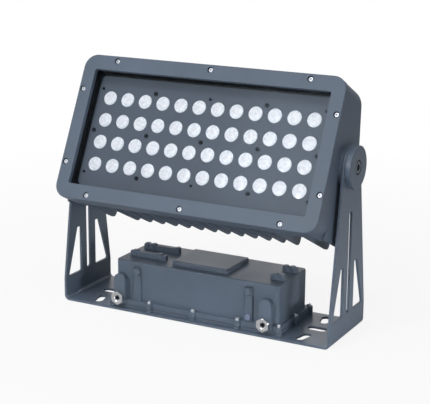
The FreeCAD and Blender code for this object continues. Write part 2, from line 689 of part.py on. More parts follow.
def driver_housing():
    """Cast cover of the driver box, open at the bottom."""
    body = rounded_block(centred(DRIVER_LENGTH), centred(DRIVER_DEPTH), (HOUSING_BOTTOM, DRIVER_TOP),
                         DRIVER_EDGE_RADIUS, Z_AXIS)
    body = body.makeFillet(DRIVER_TOP_RADIUS, edges_at(body, Z_AXIS, DRIVER_TOP))
    pieces = [body, flange_layer(HOUSING_BOTTOM, FLANGE_TOP), top_pad()]
    for x, side in gland_places():
        pieces.append(arch_pad(x, side))
    pieces.extend(front_rib(RIB_LEFT_X))
    pieces.extend(front_rib(RIB_RIGHT_X))
    long_start = LONG_BAR_END_GAP - DRIVER_LENGTH / 2
    short_start = DRIVER_LENGTH / 2 - SHORT_BAR_END_GAP - SHORT_BAR_LENGTH
    pieces.extend(top_bar(long_start, LONG_BAR_LENGTH, LONG_BAR_FRONT_BOSSES, -BAR_OFFSET_Y))
    pieces.extend(top_bar(long_start, LONG_BAR_LENGTH, LONG_BAR_REAR_BOSSES, BAR_OFFSET_Y))
    pieces.extend(top_bar(short_start, SHORT_BAR_LENGTH, SHORT_BAR_FRONT_BOSSES, -BAR_OFFSET_Y))
    pieces.extend(top_bar(short_start, SHORT_BAR_LENGTH, SHORT_BAR_REAR_BOSSES, BAR_OFFSET_Y))
    hollow = rounded_block(
        centred(DRIVER_LENGTH - 2 * DRIVER_WALL), centred(DRIVER_DEPTH - 2 * DRIVER_WALL),
        (HOUSING_BOTTOM - CUT_OVERRUN, DRIVER_TOP - DRIVER_WALL),
        DRIVER_EDGE_RADIUS - DRIVER_WALL, Z_AXIS)
    cuts = [hollow] + lug_holes(HOUSING_BOTTOM, FLANGE_TOP, M4_SHANK_RADIUS + SCREW_CLEARANCE)
    bore = GLAND_THREAD_RADIUS + GLAND_CLEARANCE
    for x, side in gland_places():
        cuts.append(rod(Vec(x, side * (DRIVER_DEPTH / 2 - DRIVER_WALL - CUT_OVERRUN), GLAND_LEVEL),
                        Vec(0, side, 0), bore, DRIVER_WALL + ARCH_PROUD + 2 * CUT_OVERRUN))
    cuts.append(rod(Vec(RIB_RIGHT_X, -DRIVER_DEPTH / 2 - RIB_PROUD - CUT_OVERRUN, VENT_LEVEL), BACK,
                    VENT_STEM_RADIUS + THREAD_CLEARANCE, RIB_PROUD + DRIVER_WALL + 2 * CUT_OVERRUN))
    return without(merged(pieces), cuts)


def driver_screws():
    length = DRIVER_FLANGE + DRIVER_GASKET + DRIVER_PLATE - DRIVER_SCREW_TIP_GAP
    screw = m4_screw(length)
    return [aim(screw, Vec(x, y, FLANGE_TOP), UP) for x, y in lug_places()]


def driver_mount_screws():
    """Flat-headed screws from under the yoke's base into the plate."""
    length = YOKE_SHEET + DRIVER_PLATE - MOUNT_SCREW_TIP_GAP
    screw = countersunk_screw(MOUNT_SCREW_HEAD_RADIUS, MOUNT_SCREW_HEAD, M4_SHANK_RADIUS, length,
                              BOARD_SCREW_SOCKET, BOARD_SCREW_SOCKET_DEPTH)
    return [aim(screw, Vec(x, y, 0), DOWN) for x, y in mount_screw_places()]


def gland_places():
    """Driver box glands: two in front and one behind, as x and wall side."""
    return [(ARCH_LEFT_X, -1), (ARCH_RIGHT_X, -1), (ARCH_LEFT_X, 1)]


def gland_body():
    """Nickel-plated gland body, screwed into its wall, with its seat at zero."""
    body = merged([
        hex_prism(GLAND_FLANGE_FLATS, 0, GLAND_FLANGE, GLAND_HEX_TURN),
        rod(Vec(0, 0, GLAND_FLANGE), UP, GLAND_STUB_RADIUS, GLAND_STUB),
        rod(ORIGIN, DOWN, GLAND_THREAD_RADIUS, GLAND_THREAD_LENGTH),
    ])
    length = GLAND_THREAD_LENGTH + GLAND_FLANGE + GLAND_STUB
    return body.cut(rod(Vec(0, 0, -GLAND_THREAD_LENGTH), UP, GLAND_BORE_RADIUS, length))


def gland_nut(flats):
    """Clamping nut over the body's stub, with a flared mouth."""
    low = GLAND_FLANGE
    high = low + GLAND_NUT_LENGTH
    nut = hex_prism(flats, low, high, GLAND_HEX_TURN)
    crown = Part.makeCone(flats / math.sqrt(3) + GLAND_NUT_LENGTH, flats / 2 - CUT_OVERRUN,
                          GLAND_NUT_LENGTH + CUT_OVERRUN, Vec(0, 0, low), UP)
    nut = nut.common(crown)
    socket = rod(Vec(0, 0, low), UP, GLAND_STUB_RADIUS + GLAND_CLEARANCE, GLAND_STUB)
    hole = rod(Vec(0, 0, low), UP, GLAND_NUT_HOLE_RADIUS, GLAND_NUT_LENGTH)
    mouth = Part.makeCone(GLAND_NUT_HOLE_RADIUS, GLAND_MOUTH_RADIUS, GLAND_MOUTH_DEPTH,
                          Vec(0, 0, high - GLAND_MOUTH_DEPTH), UP)
    return nut.cut([socket, hole, mouth])


def gland_seal():
    """Rubber sleeve in the mouth of the body, against the nut's lip."""
    high = GLAND_FLANGE + GLAND_STUB
    return ring(Vec(0, 0, high - GLAND_SEAL_LENGTH), UP, GLAND_SEAL_RADIUS, GLAND_SEAL_HOLE_RADIUS,
                GLAND_SEAL_LENGTH)


def gland_parts(name, seat, outward, nut_flats):
    """The three pieces of one gland."""
    return {
        name + "_gland_body": [aim(gland_body(), seat, outward)],
        name + "_gland_nut": [aim(gland_nut(nut_flats), seat, outward)],
        name + "_gland_seal": [aim(gland_seal(), seat, outward)],
    }


def driver_glands():
    parts = {}
    for name, (x, side) in zip(("front_left", "front_right", "rear"), gland_places()):
        seat = Vec(x, side * (DRIVER_DEPTH / 2 + ARCH_PROUD), GLAND_LEVEL)
        parts.update(gland_parts(name, seat, Vec(0, side, 0), GLAND_NUT_FLATS))
    return parts


def vent_plug(stem):
    """Round pressure vent, its seat at zero."""
    cap = rod(ORIGIN, UP, VENT_RADIUS, VENT_CAP)
    cap = cap.makeFillet(VENT_CAP_EDGE_RADIUS, edges_at(cap, Z_AXIS, VENT_CAP))
    return merged([cap, rod(ORIGIN, DOWN, VENT_STEM_RADIUS, stem)])


def driver_vent():
    seat = Vec(RIB_RIGHT_X, -DRIVER_DEPTH / 2 - RIB_PROUD, VENT_LEVEL)
    return aim(vent_plug(RIB_PROUD + DRIVER_WALL), seat, FRONT)


def module(start, length, height):
    """Potted block on the driver box's plate, with a foot at each end."""
    half = DRIVER_DEPTH / 2 - DRIVER_WALL - MODULE_SIDE_GAP
    body = rounded_block((start + MODULE_EAR_LENGTH, start + length - MODULE_EAR_LENGTH),
                         (-half, half), (PLATE_TOP, PLATE_TOP + height), MODULE_EDGE_RADIUS, Z_AXIS)
    foot = block((start, start + length), (-half / 2, half / 2), (PLATE_TOP, PLATE_TOP + MODULE_EAR_HEIGHT))
    return merged([body, foot])


def module_starts():
    """Left ends of the supply, the LED driver and the control board."""
    first = DRIVER_WALL + MODULE_END_GAP - DRIVER_LENGTH / 2
    second = first + SUPPLY_LENGTH + MODULE_SPACING
    third = second + LED_DRIVER_LENGTH + MODULE_SPACING
    return first, second, third


def control_places():
    """Centres of the control board's four fixings."""
    start = module_starts()[2]
    places = []
    for x in (start + CONTROL_HOLE_INSET, start + CONTROL_LENGTH - CONTROL_HOLE_INSET):
        for side in (-1, 1):
            places.append((x, side * (CONTROL_DEPTH / 2 - CONTROL_HOLE_INSET)))
    return places


def control_board():
    """Printed board with its main components, one soldered assembly."""
    start = module_starts()[2]
    low = PLATE_TOP + CONTROL_STANDOFF_HEIGHT
    top = low + BOARD_THICKNESS
    middle = start + CONTROL_LENGTH / 2
    pieces = [
        block((start, start + CONTROL_LENGTH), centred(CONTROL_DEPTH), (low, top)),
        block(centred(CHIP_SIZE, middle), centred(CHIP_SIZE), (top, top + CHIP_HEIGHT)),
    ]
    for side in (-1, 1):
        pieces.append(rod(Vec(middle + side * CAPACITOR_RADIUS, CONTROL_DEPTH / 2 - 2 * CAPACITOR_RADIUS, top),
                          UP, CAPACITOR_RADIUS - SCREW_CLEARANCE, CAPACITOR_HEIGHT))
    holes = [rod(Vec(x, y, low), UP, BOARD_SCREW_SHANK_RADIUS + SCREW_CLEARANCE, BOARD_THICKNESS)
             for x, y in control_places()]
    return without(merged(pieces), holes)


def control_standoffs():
    low = PLATE_TOP
    return [ring(Vec(x, y, low), UP, CONTROL_STANDOFF_RADIUS, BOARD_SCREW_SHANK_RADIUS + THREAD_CLEARANCE,
                 CONTROL_STANDOFF_HEIGHT) for x, y in control_places()]


def control_screws():
    top = PLATE_TOP + CONTROL_STANDOFF_HEIGHT + BOARD_THICKNESS
    return [aim(board_screw(), Vec(x, y, top), UP) for x, y in control_places()]


def terminal_block():
    """Row of wire terminals standing on the control board."""
    start = module_starts()[2]
    top = PLATE_TOP + CONTROL_STANDOFF_HEIGHT + BOARD_THICKNESS
    middle = start + CONTROL_LENGTH / 2
    front = 2 * CONTROL_HOLE_INSET - CONTROL_DEPTH / 2
    back = -CHIP_SIZE / 2 - TERMINAL_GAP
    body = block(centred(TERMINAL_LENGTH, middle), (front, back), (top, top + TERMINAL_HEIGHT))
    step = (back - front) / TERMINAL_WAYS
    hole_bottom = top + TERMINAL_HEIGHT * (1 - TERMINAL_HOLE_DEPTH_SHARE)
    holes = [rod(Vec(middle, front + way * step + step / 2, hole_bottom), UP,
                 step * TERMINAL_HOLE_SHARE, TERMINAL_HEIGHT) for way in range(TERMINAL_WAYS)]
    return body.cut(holes)


def board_screw():
    return socket_screw(BOARD_SCREW_HEAD_RADIUS, BOARD_SCREW_HEAD, BOARD_SCREW_SOCKET,
                        BOARD_SCREW_SOCKET_DEPTH, BOARD_SCREW_SHANK_RADIUS, BOARD_SCREW_LENGTH)


def lens_x(column):
    return (column - (LENS_COLUMNS - 1) / 2) * LENS_PITCH_X


def lens_z(row):
    """Height of a lens row, counted from the top."""
    return ((LENS_ROWS - 1) / 2 - row) * LENS_PITCH_Z


def bezel_screw_places():
    """Ten screws round the frame: three above, three below and two on each side."""
    x = BEZEL_WIDTH / 2 - BEZEL_SCREW_INSET_X
    z = BEZEL_HEIGHT / 2 - BEZEL_SCREW_INSET_Z
    places = []
    for side in (-1, 1):
        for step in (-1, 0, 1):
            places.append((step * BEZEL_SCREW_SPREAD_X, side * z))
        for step in (-1, 1):
            places.append((side * x, step * BEZEL_SCREW_SPREAD_Z))
    return places


def bezel():
    """Front frame: a plate round the window with a skirt behind its outer edge."""
    body = rounded_block(centred(BEZEL_WIDTH), depth(BEZEL_BACK, BEZEL_FRONT), centred(BEZEL_HEIGHT),
                         BEZEL_CORNER_RADIUS, Y_AXIS)
    body = body.makeFillet(BEZEL_EDGE_RADIUS, edges_at(body, Y_AXIS, -BEZEL_FRONT))
    hollow = rounded_block(
        centred(BEZEL_WIDTH - 2 * BEZEL_SKIRT), depth(BEZEL_BACK - CUT_OVERRUN, PLATE_BACK),
        centred(BEZEL_HEIGHT - 2 * BEZEL_SKIRT), BEZEL_CORNER_RADIUS - BEZEL_SKIRT, Y_AXIS)
    window = rounded_block(
        centred(WINDOW_WIDTH), depth(PLATE_BACK - CUT_OVERRUN, BEZEL_FRONT + CUT_OVERRUN),
        centred(WINDOW_HEIGHT), WINDOW_CORNER_RADIUS, Y_AXIS)
    cuts = [hollow, window]
    for x, z in bezel_screw_places():
        cuts.append(rod(Vec(x, -PLATE_BACK, z), FRONT, M4_SHANK_RADIUS + SCREW_CLEARANCE, BEZEL_PLATE))
        cuts.append(rod(Vec(x, -BEZEL_FRONT + BEZEL_SCREW_BORE_DEPTH, z), FRONT,
                        M4_HEAD_RADIUS + M4_BORE_CLEARANCE, BEZEL_SCREW_BORE_DEPTH))
    return without(body, cuts)


def bezel_screws():
    seat = -BEZEL_FRONT + BEZEL_SCREW_BORE_DEPTH
    return [aim(m4_screw(BEZEL_SCREW_LENGTH), Vec(x, seat, z), FRONT) for x, z in bezel_screw_places()]


def front_glass():
    return block(centred(GLASS_WIDTH), depth(GLASS_BACK, GLASS_FRONT), centred(GLASS_HEIGHT))


def glass_gasket():
    """Rubber channel round the edge of the glass."""
    body = rounded_block(centred(POCKET_WIDTH), depth(LEDGE, PLATE_BACK), centred(POCKET_HEIGHT),
                         GASKET_EDGE, Y_AXIS)
    opening = block(centred(GLASS_WIDTH - 2 * GASKET_LIP_WIDTH), depth(LEDGE, PLATE_BACK),
                    centred(GLASS_HEIGHT - 2 * GASKET_LIP_WIDTH))
    return body.cut([opening, front_glass()])


def mask_screw_places():
    """Grid points between the lenses, as x, z and whether the large screw sits there."""
    places = []
    for column in range(MASK_SCREW_COLUMNS):
        x = (column - (MASK_SCREW_COLUMNS - 1) / 2) * MASK_WIDTH_STEP
        for row in (-1, 0, 1):
            z = row * MASK_SCREW_ROW_STEP * LENS_PITCH_Z
            places.append((x, z, row == 0 or column % 2 == 1))
    return places


def lens_mask():
    """Thin plate with a hole for each lens, held on spacers."""
    plate = rounded_block(centred(MASK_WIDTH), depth(MASK_BACK, MASK_FRONT), centred(MASK_HEIGHT),
                          MASK_CORNER_RADIUS, Y_AXIS)
    holes = []
    for row in range(LENS_ROWS):
        for column in range(LENS_COLUMNS):
            holes.append(rod(Vec(lens_x(column), -MASK_BACK, lens_z(row)), FRONT,
                             LENS_RADIUS + LENS_HOLE_CLEARANCE, MASK_THICKNESS))
    for x, z, large in mask_screw_places():
        holes.append(rod(Vec(x, -MASK_BACK, z), FRONT,
                         MASK_SCREW_SHANK_RADIUS + SCREW_CLEARANCE, MASK_THICKNESS))
    return plate.cut(holes)


def mask_screws(large):
    radius = MASK_SCREW_LARGE_RADIUS if large else MASK_SCREW_SMALL_RADIUS
    screw = socket_screw(radius, MASK_SCREW_HEAD, MASK_SCREW_SOCKET, MASK_SCREW_SOCKET_DEPTH,
                         MASK_SCREW_SHANK_RADIUS, MASK_SCREW_LENGTH)
    return [aim(screw, Vec(x, -MASK_FRONT, z), FRONT)
            for x, z, is_large in mask_screw_places() if is_large == large]


def mask_spacers():
    return [ring(Vec(x, -FLOOR_FRONT, z), FRONT, MASK_SPACER_RADIUS,
                 MASK_SCREW_SHANK_RADIUS + THREAD_CLEARANCE, MASK_BACK - FLOOR_FRONT)
            for x, z, large in mask_screw_places()]


def lens():
    """Moulded lens: a domed disc with a cone behind it, its seat at zero."""
    sagitta = LENS_DOME_HEIGHT
    sphere_radius = (LENS_RADIUS ** 2 + sagitta ** 2) / (2 * sagitta)
    dome = Part.makeSphere(sphere_radius, Vec(0, 0, LENS_FLANGE + sagitta - sphere_radius))
    disc = rod(ORIGIN, UP, LENS_RADIUS, LENS_FLANGE + sagitta).common(dome)
    cone = Part.makeCone(LENS_CONE_TOP_RADIUS, LENS_CONE_BOTTOM_RADIUS, LENS_CONE_LENGTH, ORIGIN, DOWN)
    return merged([disc, cone])


def lens_row(row):
    shape = lens()
    return [aim(shape, Vec(lens_x(column), -LENS_SEAT, lens_z(row)), FRONT)
            for column in range(LENS_COLUMNS)]


def half_columns(side):
    """Lens columns on the left (-1) or right (1) half."""
    half = LENS_COLUMNS // 2
    return range(half) if side < 0 else range(half, LENS_COLUMNS)


def lens_holders(side):
    """Black ring under each lens of one half."""
    holders = []
    for row in range(LENS_ROWS):
        for column in half_columns(side):
            holders.append(ring(Vec(lens_x(column), -BOARD_FRONT, lens_z(row)), FRONT,
                                HOLDER_OUTER_RADIUS, HOLDER_OUTER_RADIUS - HOLDER_WALL, HOLDER_HEIGHT))
    return holders


def board_screw_places(side):
    """Board screws, midway between the lenses."""
    places = []
    for step in (-2, 0, 2):
        for row in (-1, 1):
            places.append((side * BOARD_CENTRE_X + step * LENS_PITCH_X, row * LENS_PITCH_Z))
    return places


def led_board(side):
    """Aluminium-backed board of one half."""
    centre = side * BOARD_CENTRE_X
    board = block(centred(BOARD_WIDTH, centre), depth(FLOOR_FRONT, BOARD_FRONT), centred(BOARD_HEIGHT))
    holes = [rod(Vec(centre, -FLOOR_FRONT, 0), FRONT, MASK_SPACER_RADIUS + BOARD_SPACER_CLEARANCE,
                 BOARD_THICKNESS)]
    for x, z in board_screw_places(side):
        holes.append(rod(Vec(x, -FLOOR_FRONT, z), FRONT, BOARD_SCREW_SHANK_RADIUS + SCREW_CLEARANCE,
                         BOARD_THICKNESS))
    return board.cut(holes)


def leds(side):
    chips = []
    for row in range(LENS_ROWS):
        for column in half_columns(side):
            chips.append(block(centred(LED_SIZE, lens_x(column)), depth(BOARD_FRONT, BOARD_FRONT + LED_HEIGHT),
                               centred(LED_SIZE, lens_z(row))))
    return chips


def led_board_screws():
    screw = board_screw()
    return [aim(screw, Vec(x, -BOARD_FRONT, z), FRONT)
            for side in (-1, 1) for x, z in board_screw_places(side)]


def fin(x, thickness):
    """One upright cooling fin with rounded back corners."""
    low = x - thickness / 2
    plate = prism([
        Vec(low, -FLOOR_BACK, -FIN_ROOT_HALF),
        Vec(low, -FLOOR_BACK, FIN_ROOT_HALF),
        Vec(low, FIN_REACH, FIN_TIP_HALF),
        Vec(low, FIN_REACH, -FIN_TIP_HALF),
    ], Vec(thickness, 0, 0))
    corners = [edge for edge in edges_along(plate, X_AXIS) if edge.Vertexes[0].Point.y > 0]
    return plate.makeFillet(FIN_CORNER_RADIUS, corners)


def fins():
    """Fins across the back, leaving out the second place from each end."""
    shapes = []
    for place in range(FIN_COUNT):
        if place in (1, FIN_COUNT - 2):
            continue
        end = place in (0, FIN_COUNT - 1)
        shapes.append(fin(place * FIN_PITCH - FIN_SPAN, FIN_END_THICKNESS if end else FIN_THICKNESS))
    return shapes


def cheek(side):
    """Side wall behind the head's box, deepest at the pivot."""
    outer = side * SHELL_WIDTH / 2
    half = SHELL_HEIGHT / 2
    plate = prism([
        Vec(outer, -SHELL_FRONT, -half),
        Vec(outer, -SHELL_FRONT, half),
        Vec(outer, CHEEK_TOP_REACH, half),
        Vec(outer, CHEEK_REACH, CHEEK_FLAT_HALF),
        Vec(outer, CHEEK_REACH, -CHEEK_FLAT_HALF),
        Vec(outer, CHEEK_TOP_REACH, -half),
    ], Vec(-side * CHEEK_THICKNESS, 0, 0))
    corners = [edge for edge in edges_along(plate, X_AXIS) if edge.Vertexes[0].Point.y > 0]
    plate = plate.makeFillet(CHEEK_CORNER_RADIUS, corners)
    envelope = rounded_block(centred(SHELL_WIDTH), (-SHELL_FRONT, CHEEK_REACH), centred(SHELL_HEIGHT),
                             BEZEL_CORNER_RADIUS - SHELL_INSET, Y_AXIS)
    return plate.common(envelope)


def side_fin(side):
    """Thin fin in the plane of each side, behind the box from the cheek down to its lower edge."""
    outer = side * SHELL_WIDTH / 2
    half = SHELL_HEIGHT / 2
    plate = prism([
        Vec(outer, -FLOOR_BACK, -CHEEK_FLAT_HALF),
        Vec(outer, CHEEK_REACH, -CHEEK_FLAT_HALF),
        Vec(outer, SIDE_FIN_REACH, -half),
        Vec(outer, -FLOOR_BACK, -half),
    ], Vec(-side * SIDE_FIN_THICKNESS, 0, 0))
    tip = [edge for edge in edges_along(plate, X_AXIS)
           if edge.Vertexes[0].Point.y > 0 and edge.Vertexes[0].Point.z < -CHEEK_FLAT_HALF - TOLERANCE]
    plate = plate.makeFillet(FIN_CORNER_RADIUS, tip)
    rim = [edge for edge in edges_along(plate, Y_AXIS)
           if abs(edge.Vertexes[0].Point.x - outer) < TOLERANCE and edge.Vertexes[0].Point.z < -half + TOLERANCE]
    return plate.makeFillet(SIDE_FIN_OUTER_RADIUS, rim)


def pivot_pad(side):
    """Round raised pad at the pivot, and the thick boss behind it for the bolt."""
    inner = SHELL_WIDTH / 2 - CHEEK_THICKNESS
    face = side * PAD_FACE
    pad = rod(Vec(side * inner, 0, 0), Vec(side, 0, 0), PAD_RADIUS, PAD_FACE - inner)
    back = side * (SHELL_WIDTH / 2 - BOLT_BOSS_LENGTH)
    boss = block((min(back, face), max(back, face)), (-FLOOR_BACK, BOLT_BOSS_REACH),
                 (-BOLT_BOSS_HALF_HEIGHT, BOLT_BOSS_HALF_HEIGHT))
    return [pad, boss]


def head_gland_place():
    """Centre of the head's gland, between the end fin and its neighbour."""
    return Vec(FIN_PITCH - FIN_SPAN, -FLOOR_BACK, HEAD_GLAND_EDGE - CAVITY_HEIGHT / 2)


def head_vent_place():
    seat = head_gland_place()
    return Vec(-seat.x, seat.y, seat.z)


def heatsink_housing():
    """Cast back of the head: box, floor, fins, side cheeks and pivot pads."""
    shell = rounded_block(centred(SHELL_WIDTH), depth(FLOOR_BACK, SHELL_FRONT), centred(SHELL_HEIGHT),
                          BEZEL_CORNER_RADIUS - SHELL_INSET, Y_AXIS)
    rim = rounded_block(centred(RIM_WIDTH), depth(SHELL_FRONT - CUT_OVERRUN, PLATE_BACK),
                        centred(RIM_HEIGHT), RIM_RADIUS, Y_AXIS)
    pieces = [shell, rim] + fins()
    for side in (-1, 1):
        pieces.append(cheek(side))
        pieces.append(side_fin(side))
        pieces.extend(pivot_pad(side))
    cavity = rounded_block(centred(CAVITY_WIDTH), depth(FLOOR_FRONT, PLATE_BACK + CUT_OVERRUN),
                           centred(CAVITY_HEIGHT), WINDOW_CORNER_RADIUS, Y_AXIS)
    pocket = rounded_block(centred(POCKET_WIDTH), depth(LEDGE, PLATE_BACK + CUT_OVERRUN),
                           centred(POCKET_HEIGHT), GASKET_EDGE, Y_AXIS)
    cuts = [cavity, pocket]
    tapped_depth = BEZEL_SCREW_LENGTH - (BEZEL_PLATE - BEZEL_SCREW_BORE_DEPTH) + CUT_OVERRUN
    for x, z in bezel_screw_places():
        cuts.append(rod(Vec(x, -PLATE_BACK, z), BACK, M4_SHANK_RADIUS + THREAD_CLEARANCE, tapped_depth))
    for side in (-1, 1):
        for x, z in board_screw_places(side):
            cuts.append(rod(Vec(x, -FLOOR_FRONT, z), BACK, BOARD_SCREW_SHANK_RADIUS + THREAD_CLEARANCE,
                            BOARD_SCREW_LENGTH))
        bolt_end = BOLT_SEAT - CLAMP_BOLT_LENGTH - CUT_OVERRUN
        cuts.append(rod(Vec(side * bolt_end, 0, 0), Vec(side, 0, 0), BOLT_HOLE_RADIUS, PAD_FACE - bolt_end))
    cuts.append(rod(head_gland_place(), FRONT, GLAND_THREAD_RADIUS + GLAND_CLEARANCE, FLOOR_THICKNESS))
    cuts.append(rod(head_vent_place(), FRONT, VENT_STEM_RADIUS + THREAD_CLEARANCE, FLOOR_THICKNESS))
    return without(merged(pieces), cuts)


def head_vent():
    return aim(vent_plug(FLOOR_THICKNESS), head_vent_place(), BACK)


def friction_washer(side):
    return ring(Vec(side * PAD_FACE, 0, 0), Vec(side, 0, 0), FRICTION_WASHER_RADIUS,
                CLAMP_BOLT_RADIUS + SCREW_CLEARANCE, FRICTION_WASHER_THICKNESS)


def clamp_disc():
    """Round pressure disc with a recess for the bolt's head, its seat at zero."""
    disc = rod(ORIGIN, UP, CLAMP_DISC_RADIUS, CLAMP_DISC_THICKNESS)
    disc = disc.makeFillet(CLAMP_DISC_EDGE_RADIUS, edges_at(disc, Z_AXIS, CLAMP_DISC_THICKNESS))
    recess = rod(Vec(0, 0, CLAMP_DISC_THICKNESS - CLAMP_RECESS_DEPTH), UP, CLAMP_RECESS_RADIUS,
                 CLAMP_RECESS_DEPTH)
    hole = rod(ORIGIN, UP, CLAMP_BOLT_RADIUS + THREAD_CLEARANCE, CLAMP_DISC_THICKNESS)
    return disc.cut([recess, hole])


def clamp_washer():
    low = CLAMP_DISC_THICKNESS - CLAMP_RECESS_DEPTH
    return ring(Vec(0, 0, low), UP, CLAMP_WASHER_RADIUS, CLAMP_BOLT_RADIUS + THREAD_CLEARANCE,
                CLAMP_WASHER_THICKNESS)


def clamp_bolt():
    return socket_screw(CLAMP_BOLT_HEAD_RADIUS, CLAMP_BOLT_HEAD, CLAMP_BOLT_SOCKET,
                        CLAMP_BOLT_SOCKET_DEPTH, CLAMP_BOLT_RADIUS, CLAMP_BOLT_LENGTH)


def clamp_parts(name, side):
    """Disc, washer and bolt of one pivot."""
    outward = Vec(side, 0, 0)
    face = Vec(side * ARM_OUTER_FACE, 0, PIVOT_HEIGHT)
    seat = Vec(side * BOLT_SEAT, 0, PIVOT_HEIGHT)
    return {
        name + "_clamp_disc": [aim(clamp_disc(), face, outward)],
        name + "_clamp_washer": [aim(clamp_washer(), face, outward)],
        name + "_clamp_bolt": [aim(clamp_bolt(), seat, outward)],
    }


def head_parts():
    """Every piece that tilts, in the head's own upright frame."""
    parts = {
        "bezel": [bezel()],
        "bezel_screws": bezel_screws(),
        "front_glass": [front_glass()],
        "glass_gasket": [glass_gasket()],
        "lens_mask": [lens_mask()],
        "mask_screws_large": mask_screws(True),
        "mask_screws_small": mask_screws(False),
        "mask_spacers": mask_spacers(),
        "led_board_screws": led_board_screws(),
        "heatsink_housing": [heatsink_housing()],
        "head_vent": [head_vent()],
    }
    for row in range(LENS_ROWS):
        parts["lens_row_%d" % (row + 1)] = lens_row(row)
    for name, side in (("left", -1), ("right", 1)):
        parts["lens_holders_" + name] = lens_holders(side)
        parts["led_board_" + name] = [led_board(side)]
        parts["leds_" + name] = leds(side)
        parts[name + "_friction_washer"] = [friction_washer(side)]
    parts.update(gland_parts("head", head_gland_place(), BACK, HEAD_GLAND_NUT_FLATS))
    return parts


def fixed_parts():
    """Every piece that stays with the yoke."""
    first, second, third = module_starts()
    parts = {
        "yoke_bracket": [yoke_bracket()],
        "driver_bottom_plate": [driver_bottom_plate()],
        "driver_gasket": [driver_gasket()],
        "driver_housing": [driver_housing()],
        "driver_screws": driver_screws(),
        "driver_mount_screws": driver_mount_screws(),
        "driver_vent": [driver_vent()],
        "power_supply": [module(first, SUPPLY_LENGTH, SUPPLY_HEIGHT)],
        "led_driver": [module(second, LED_DRIVER_LENGTH, LED_DRIVER_HEIGHT)],
        "control_board": [control_board()],
        "control_standoffs": control_standoffs(),
        "control_screws": control_screws(),
        "terminal_block": [terminal_block()],
    }
    parts.update(driver_glands())
    return parts


def write(name, solids):
    """One STEP file for each named sub-part."""
    shape = solids[0] if len(solids) == 1 else Part.makeCompound(solids)
    shape.exportStep(os.path.join("parts", name + ".step"))


os.makedirs("parts", exist_ok=True)
for part_name, part_solids in fixed_parts().items():
    write(part_name, part_solids)
for part_name, part_solids in head_parts().items():
    write(part_name, [on_head(solid) for solid in part_solids])
for part_name, part_side in (("left", -1), ("right", 1)):
    for piece_name, piece_solids in clamp_parts(part_name, part_side).items():
        write(piece_name, piece_solids)
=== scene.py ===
import math

import bmesh
import bpy
from mathutils import Matrix, Vector
from mathutils.bvhtree import BVHTree


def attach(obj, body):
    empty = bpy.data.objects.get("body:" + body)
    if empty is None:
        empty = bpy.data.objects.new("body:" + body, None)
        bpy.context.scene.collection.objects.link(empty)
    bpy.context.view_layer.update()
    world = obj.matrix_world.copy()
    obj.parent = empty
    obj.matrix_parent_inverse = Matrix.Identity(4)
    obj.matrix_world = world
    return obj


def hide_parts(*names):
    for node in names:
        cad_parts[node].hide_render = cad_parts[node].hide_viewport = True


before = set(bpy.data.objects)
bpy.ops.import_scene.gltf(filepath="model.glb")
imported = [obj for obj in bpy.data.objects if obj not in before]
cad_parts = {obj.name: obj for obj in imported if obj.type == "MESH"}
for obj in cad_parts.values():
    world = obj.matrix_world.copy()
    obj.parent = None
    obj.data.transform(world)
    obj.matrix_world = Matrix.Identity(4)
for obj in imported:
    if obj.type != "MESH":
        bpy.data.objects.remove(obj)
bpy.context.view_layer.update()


# The yoke: one 4 mm steel sheet, cut with slots and pointed windows, bent up at both ends and
# powder coated in a dark blue-grey. Its cut edges are deburred, so they catch a thin line of light.
mm = 0.001
paint_colour = (0.102, 0.135, 0.184)
deburred_edge = 0.6 * mm


class Shade:
    """One value in a material's nodes; a sum on it adds Math nodes."""

    def __init__(self, tree, socket):
        self.tree = tree
        self.socket = socket

    def node(self, kind, settings, sockets, out=0):
        """Any node, from its type, its settings, and the values or links of its sockets."""
        made = self.tree.nodes.new("ShaderNode" + kind)
        for name, value in settings.items():
            setattr(made, name, value)
        for name, value in sockets.items():
            if isinstance(value, Shade):
                self.tree.links.new(value.socket, made.inputs[name])
            else:
                made.inputs[name].default_value = value
        return Shade(self.tree, made.outputs[out]) if made.outputs else None

    def maths(self, operation, first, second=0.0):
        """A Math node; an operation on one value leaves the second out."""
        return self.node("Math", {"operation": operation}, {0: first, 1: second})

    def __add__(self, other):
        return self.maths("ADD", self, other)

    __radd__ = __add__

    def __sub__(self, other):
        return self.maths("SUBTRACT", self, other)

    def __rsub__(self, other):
        return self.maths("SUBTRACT", other, self)

    def __mul__(self, other):
        return self.maths("MULTIPLY", self, other)

    __rmul__ = __mul__

    def between(self, low, high):
        """0 at low, 1 at high, and held past both."""
        return self.node("MapRange", {}, {0: self, 1: low, 2: high})

    def mix(self, low, high):
        """The colour low where this is 0 and high where it is 1."""
        return self.node("Mix", {"data_type": "RGBA"}, {0: self, 6: low, 7: high}, 2)

    def noise(self, scale, detail):
        """Soft random spots, about as many to a metre as the scale says."""
        return self.node("TexNoise", {}, {"Vector": self, "Scale": scale, "Detail": detail})

    def bump(self, height, distance):
        """Normals as of a surface raised by the height times the distance."""
        return self.node("Bump", {}, {"Height": height, "Distance": distance})

    def surface(self, sockets):
        """The shader that the material ends in."""
        shader = self.node("BsdfPrincipled", {}, sockets)
        self.node("OutputMaterial", {}, {"Surface": shader})


def new_finish(name):
    """An empty material, and the place of each point on the object."""
    material = bpy.data.materials.new(name)
    material.use_nodes = True
    material.node_tree.nodes.clear()
    place = material.node_tree.nodes.new("ShaderNodeTexCoord")
    return material, Shade(material.node_tree, place.outputs["Object"])


def tone(colour, share=1.0):
    """A colour, made darker or lighter by a share."""
    return tuple(part * share for part in colour) + (1.0,)


